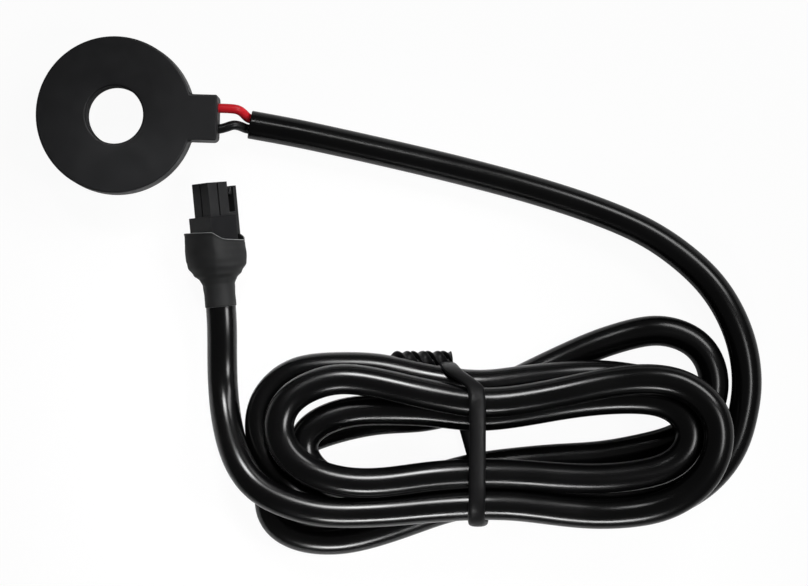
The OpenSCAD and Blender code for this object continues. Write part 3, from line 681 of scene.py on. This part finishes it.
class CURRENT_TRANSFORMER_OT_wrap_tie(bpy.types.Operator):
    """Wraps the flat twist tie round the hank, with its two ends twisted together"""
    bl_idname = "current_transformer.wrap_tie"
    bl_label = "Wrap tie"

    def execute(self, context):
        settings = context.scene.ct_tie
        place_band = tie_frame(settings)
        middle_z = place_band.translation.z
        points = [Vector((x * MM, z * MM - middle_z, 0)) for x, z in TIE_LOOP]
        ring = even_steps(smooth_route(points[-2:] + points + points[:2], 0.0005), 0.0005)
        start = min(range(len(ring) // 2), key=lambda i: (ring[i] - points[0]).length)
        end = min(range(len(ring) // 2, len(ring)),
                  key=lambda i: (ring[i] - points[0]).length)
        path = ring[start:end]
        along = Vector((0, 0, 1))
        half_width, half_thick = settings.width / 2, settings.thickness / 2

        top = max(p.y for p in path)
        squareness = 0.8  # of the band's section: 1 is an ellipse, less is squarer
        back = -4.9 * MM  # where the band passes the hank's back edge
        under, steep, most = 2.6 * MM, 0.28, 1.5 * MM  # its pass underneath

        def sway(point):
            """How far the band leaves its plane: it curls over at the back, towards its
            twisted ends, and crosses the gap underneath at a slant."""
            above = back * ease((point.x - 13 * MM) / (5.5 * MM))
            slant = min(max(steep * (point.x + 1.2 * MM), -most), most)
            below = under - slant
            below += (back - below) * ease((point.x - 4 * MM) / (11 * MM))
            return below + (above - below) * ease(0.5 + point.y / top / 2)

        def place(number, angle):
            out = heading(path, number, closed=True).cross(along)
            return (Vector((sway(path[number]), 0, 0))
                    + place_band @ (path[number]
                                    + along * (half_width
                                               * soft(math.cos(angle), squareness))
                                    + out * (half_thick
                                             * soft(math.sin(angle), squareness))))

        finish = (Finish("tie_cover_plastic", (0.0035, 0.0035, 0.0037), 0.42, specular=0.09)
                  .mottle(0.004, 0.12).polish(0.003, 0.06).relief(0.0008, 0.00002))
        band = new_piece("tie_band", skin(len(path), 24, place, closed=True),
                         finish.material)
        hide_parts("tie_cover", "tie_wire")

        # The two ends, one cut shorter: a screw motion of two flat sections.
        bm = bmesh.new()
        steps, reach = 90, 15 * MM
        gap, shorter = 0.05 * MM, 0.66
        for side, share in ((-1, 1), (1, shorter)):
            made = bmesh.ops.create_circle(bm, cap_ends=True, segments=24, radius=0.5)
            bmesh.ops.scale(bm, verts=made["verts"],
                            vec=(settings.thickness, settings.width, 1))
            bmesh.ops.translate(bm, verts=made["verts"],
                                vec=(side * (half_thick + gap), 0, 0))
            section = {e for v in made["verts"] for e in v.link_edges}
            faces = {f for v in made["verts"] for f in v.link_faces}
            bmesh.ops.spin(bm, geom=made["verts"] + list(section) + list(faces),
                           cent=(0, 0, 0), axis=(0, 0, 1), dvec=(0, 0, reach / steps),
                           angle=settings.twist * share, steps=round(steps * share),
                           use_duplicate=False)
        ends_at = (19.9 * MM, -6.75 * MM, -3.3 * MM)  # where they leave the band
        tail = (place_band @ Matrix.Translation(ends_at)
                @ Matrix.Rotation(math.radians(40), 4, "Z")
                @ Matrix.Rotation(math.radians(180), 4, "X"))
        bmesh.ops.transform(bm, matrix=tail, verts=bm.verts)
        bmesh.ops.recalc_face_normals(bm, faces=bm.faces)
        ends = new_piece("tie_ends", bm, finish.material)
        return {"FINISHED"}


class CURRENT_TRANSFORMER_OT_fit_boot(bpy.types.Operator):
    """Shrinks the soft boot over the cable and the plug's collar"""
    bl_idname = "current_transformer.fit_boot"
    bl_label = "Fit boot"

    def execute(self, context):
        settings = context.scene.ct_plug
        cable = context.scene.ct_cable
        neck = cable.flat_width / 2 + 0.15 * MM  # half width over the cable
        wide, high = 7.5 * MM, 6.5 * MM  # halves at the widest part
        rings, sides, length = 44, 64, settings.boot_length
        crease_depth, lip = 0.03, 0.035

        def section(share):
            """Shares of the half width and half height, and the squareness, there."""
            for a, b in zip(BOOT_SECTIONS, BOOT_SECTIONS[1:]):
                if share <= b[0]:
                    t = ease((share - a[0]) / (b[0] - a[0]))
                    return [p + (q - p) * t for p, q in zip(a[1:], b[1:])]
            return BOOT_SECTIONS[-1][1:]

        def rim_lean(across):
            """How far the cut edge runs forward at a share of the half width."""
            for a, b in zip(RIM_LEAN, RIM_LEAN[1:]):
                if across <= b[0]:
                    return (a[1] + (b[1] - a[1]) * (across - a[0]) / (b[0] - a[0])) * MM
            return RIM_LEAN[-1][1] * MM

        def under_lip(across, down):
            """The underside's edge runs further forward, behind the plug's latch."""
            fade = min(max((1.15 - across) / 0.35, 0), 1)
            return 2.6 * MM * fade * max(0, down) ** 0.15 * (across > 0)

        def place(ring, angle):
            share = ring / (rings - 1)
            w, h, power = section(share)
            half_w, half_h = neck + w * (wide - neck), neck + h * (high - neck)
            c, s = math.cos(angle), math.sin(angle)
            x, y = half_w * soft(c, 2 / power), half_h * soft(s, 2 / power)
            z = share * length + share ** 6 * (rim_lean(c) + under_lip(c, s))
            crease = noise.noise(Vector((c * 2, s * 2, share * 9)))
            swell = 1 + crease_depth * crease * min(1, 4 * share * (1 - share))
            swell += lip * (ring == rings - 1)  # the cut edge stands off the plug
            return PLUG_FRAME @ Vector((x * swell, y * swell, z))

        bm = skin(rings, sides, place)
        mouth = [f for f in bm.faces if len(f.verts) > 4]
        bmesh.ops.delete(bm, geom=mouth, context="FACES_ONLY")
        rubber = (Finish("shrink_sleeve", (0.0095, 0.0098, 0.01), 0.62, specular=0.2)
                  .mottle(0.005, 0.12).polish(0.004, 0.06).relief(0.0025, 0.00004)
                  .relief(0.0003, 0.000006))
        sleeve = new_piece("boot_sleeve", bm, rubber.material)
        wall = sleeve.modifiers.new("wall", "SOLIDIFY")
        wall.thickness = settings.boot_wall
        wall.offset = -1
        # The wall's rim faces take a pale grey: a painted highlight where light catches the
        # boot's black cut edge.
        wall.material_offset_rim = 1
        cut = (Finish("sleeve_edge_painted_highlight", (0.16, 0.165, 0.165), 0.4).mottle(0.002, 0.1)
               .polish(0.001, 0.05).relief(0.0006, 0.00001))
        sleeve.data.materials.append(cut.material)
        soften = sleeve.modifiers.new("soften", "SUBSURF")
        soften.levels = soften.render_levels = 1
        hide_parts("boot")
        return {"FINISHED"}


def smooth_panel(shell):
    """The collar's upper right side is smoother and darker than the rest."""
    finish = Finish("plug_panel", (0.006, 0.006, 0.0068), 0.35, specular=0.2)
    finish.mottle(0.004, 0.1).polish(0.003, 0.05).relief(0.0003, 0.000002)
    shell.data.materials.append(finish.material)
    into_plug = PLUG_FRAME.inverted()
    start, end = 14 * MM, 22.3 * MM  # of the collar, from the plug's origin
    for face in shell.data.polygons:
        centre = into_plug @ face.center
        normal = into_plug.to_3x3() @ face.normal
        if start < centre.z < end and normal.x > 0.5 and normal.y < -0.5:
            face.material_index = 1


class CURRENT_TRANSFORMER_OT_mould_plug(bpy.types.Operator):
    """Makes the plug's housing with moulded edges, and finishes its wires and contacts"""
    bl_idname = "current_transformer.mould_plug"
    bl_label = "Mould plug"

    def execute(self, context):
        settings = context.scene.ct_plug
        nylon = moulded("plug_nylon", (0.0105, 0.0105, 0.0112), 0.42, 0.00025, 0.000006)
        shell = new_piece("plug_shell", merged_copy("plug_housing"), nylon,
                          sharp=math.radians(30))
        smooth_panel(shell)
        bevel_modifier(shell, settings.edge)
        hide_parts("plug_housing")
        brass = metal("contact_plating", (0.8, 0.62, 0.3), 0.28)
        for name, colour in (("red", (0.5, 0.012, 0.02)), ("black", (0.008, 0.008, 0.008))):
            paint_node("terminal_" + name, brass)
            wire = (Finish("plug_insulation_" + name, colour, 0.36).mottle(0.002, 0.08)
                    .polish(0.001, 0.05).relief(0.0006, 0.000008))
            paint_node("plug_wire_" + name, wire.material)
        return {"FINISHED"}


def background_share(tree, camera_share, mirror_share):
    """How much of the plain white background a ray sees: camera rays the most, and
    glossy and transmission rays enough for metal to show it."""
    path = tree.nodes.new("ShaderNodeLightPath")
    total = None
    for name, share in (("Is Camera Ray", camera_share), ("Is Glossy Ray", mirror_share),
                        ("Is Transmission Ray", mirror_share)):
        part = tree.nodes.new("ShaderNodeMath")
        part.operation = "MULTIPLY"
        part.inputs[1].default_value = share
        tree.links.new(path.outputs[name], part.inputs[0])
        if total is None:
            total = part.outputs[0]
            continue
        join = tree.nodes.new("ShaderNodeMath")
        join.operation = "MAXIMUM"
        tree.links.new(total, join.inputs[0])
        tree.links.new(part.outputs[0], join.inputs[1])
        total = join.outputs[0]
    return total


class CURRENT_TRANSFORMER_OT_set_studio(bpy.types.Operator):
    """Sets up the pale floor, the lamps and the plain surroundings"""
    bl_idname = "current_transformer.set_studio"
    bl_label = "Set studio"

    def execute(self, context):
        settings = context.scene.ct_studio
        scene = context.scene
        scene.view_settings.view_transform = "Standard"
        low, high = CAD_BOX
        middle = (Vector(low) + Vector(high)) / 2

        half, drop = 2.5, 0.0001  # the floor's half size, and its gap under the part
        bm = bmesh.new()
        bmesh.ops.create_grid(bm, x_segments=1, y_segments=1, size=half)
        bmesh.ops.translate(bm, verts=bm.verts, vec=(middle.x, middle.y, -drop))
        mesh = bpy.data.meshes.new("floor")
        bm.to_mesh(mesh)
        bm.free()
        floor = bpy.data.objects.new("floor", mesh)
        scene.collection.objects.link(floor)
        paper = Finish("floor_paper", tuple(settings.floor_colour), 0.9, specular=0.0)
        paper.mottle(0.05, 0.01)
        glow = paper.add("ShaderNodeEmission")
        mix = paper.add("ShaderNodeMixShader")
        paper.links.new(background_share(paper.material.node_tree, *FLOOR_SHARES),
                        mix.inputs[0])
        paper.links.new(paper.shader.outputs[0], mix.inputs[1])
        paper.links.new(glow.outputs[0], mix.inputs[2])
        paper.links.new(mix.outputs[0], paper.nodes["Material Output"].inputs["Surface"])
        mesh.materials.append(paper.material)

        world = bpy.data.worlds.new("surroundings")
        scene.world = world
        world.use_nodes = True
        tree = world.node_tree
        room = tree.nodes["Background"]
        room.inputs["Color"].default_value = (1, 1, 1, 1)
        room.inputs["Strength"].default_value = ROOM_LIGHT
        white = tree.nodes.new("ShaderNodeBackground")
        white.inputs["Color"].default_value = (1, 1, 1, 1)
        blend = tree.nodes.new("ShaderNodeMixShader")
        tree.links.new(background_share(tree, *ROOM_SHARES), blend.inputs[0])
        tree.links.new(room.outputs[0], blend.inputs[1])
        tree.links.new(white.outputs[0], blend.inputs[2])
        tree.links.new(blend.outputs[0], tree.nodes["World Output"].inputs["Surface"])

        for name, azimuth, tilt, distance, width, height, watts, spread, aim in LAMPS:
            light = bpy.data.lights.new(name, "AREA")
            light.shape = "RECTANGLE"
            light.size, light.size_y = width, height
            light.energy = watts * settings.lamp_strength
            light.spread = math.radians(spread)
            lamp = bpy.data.objects.new(name, light)
            a, t = math.radians(azimuth), math.radians(tilt)
            lamp.location = Vector(aim) + distance * Vector(
                (math.sin(t) * math.cos(a), math.sin(t) * math.sin(a), math.cos(t)))
            lamp.rotation_euler = (0, t, a)
            scene.collection.objects.link(lamp)
        return {"FINISHED"}


# ---- Panel and registration ----

STEPS = (
    CURRENT_TRANSFORMER_OT_add_camera,
    CURRENT_TRANSFORMER_OT_wrap_tie,
    CURRENT_TRANSFORMER_OT_fit_boot,
    CURRENT_TRANSFORMER_OT_mould_plug,
    CURRENT_TRANSFORMER_OT_lay_cable,
    CURRENT_TRANSFORMER_OT_run_leads,
    CURRENT_TRANSFORMER_OT_mould_head,
    CURRENT_TRANSFORMER_OT_set_studio,
)
SETTINGS = (
    ("ct_head", HeadSettings),
    ("ct_cable", CableSettings),
    ("ct_tie", TieSettings),
    ("ct_plug", PlugSettings),
    ("ct_studio", StudioSettings),
)


class CURRENT_TRANSFORMER_PT_panel(bpy.types.Panel):
    """Lists the settings and the steps"""
    bl_idname = "CURRENT_TRANSFORMER_PT_panel"
    bl_label = "Current transformer"
    bl_space_type = "VIEW_3D"
    bl_region_type = "UI"
    bl_category = "Current transformer"

    def draw(self, context):
        for name, group in SETTINGS:
            box = self.layout.box()
            for key in group.__annotations__:
                box.prop(getattr(context.scene, name), key)
        for step in STEPS:
            self.layout.operator(step.bl_idname)


def register():
    for name, group in SETTINGS:
        bpy.utils.register_class(group)
        setattr(bpy.types.Scene, name, PointerProperty(type=group))
    for cls in (*STEPS, CURRENT_TRANSFORMER_PT_panel):
        bpy.utils.register_class(cls)


def unregister():
    for cls in reversed((*STEPS, CURRENT_TRANSFORMER_PT_panel)):
        bpy.utils.unregister_class(cls)
    for name, group in reversed(SETTINGS):
        delattr(bpy.types.Scene, name)
        bpy.utils.unregister_class(group)


def main():
    register()
    bpy.ops.current_transformer.add_camera()
    bpy.ops.current_transformer.wrap_tie()
    bpy.ops.current_transformer.fit_boot()
    bpy.ops.current_transformer.mould_plug()
    bpy.ops.current_transformer.lay_cable()
    bpy.ops.current_transformer.run_leads()
    bpy.ops.current_transformer.mould_head()
    bpy.ops.current_transformer.set_studio()


if __name__ == "__main__":
    main()
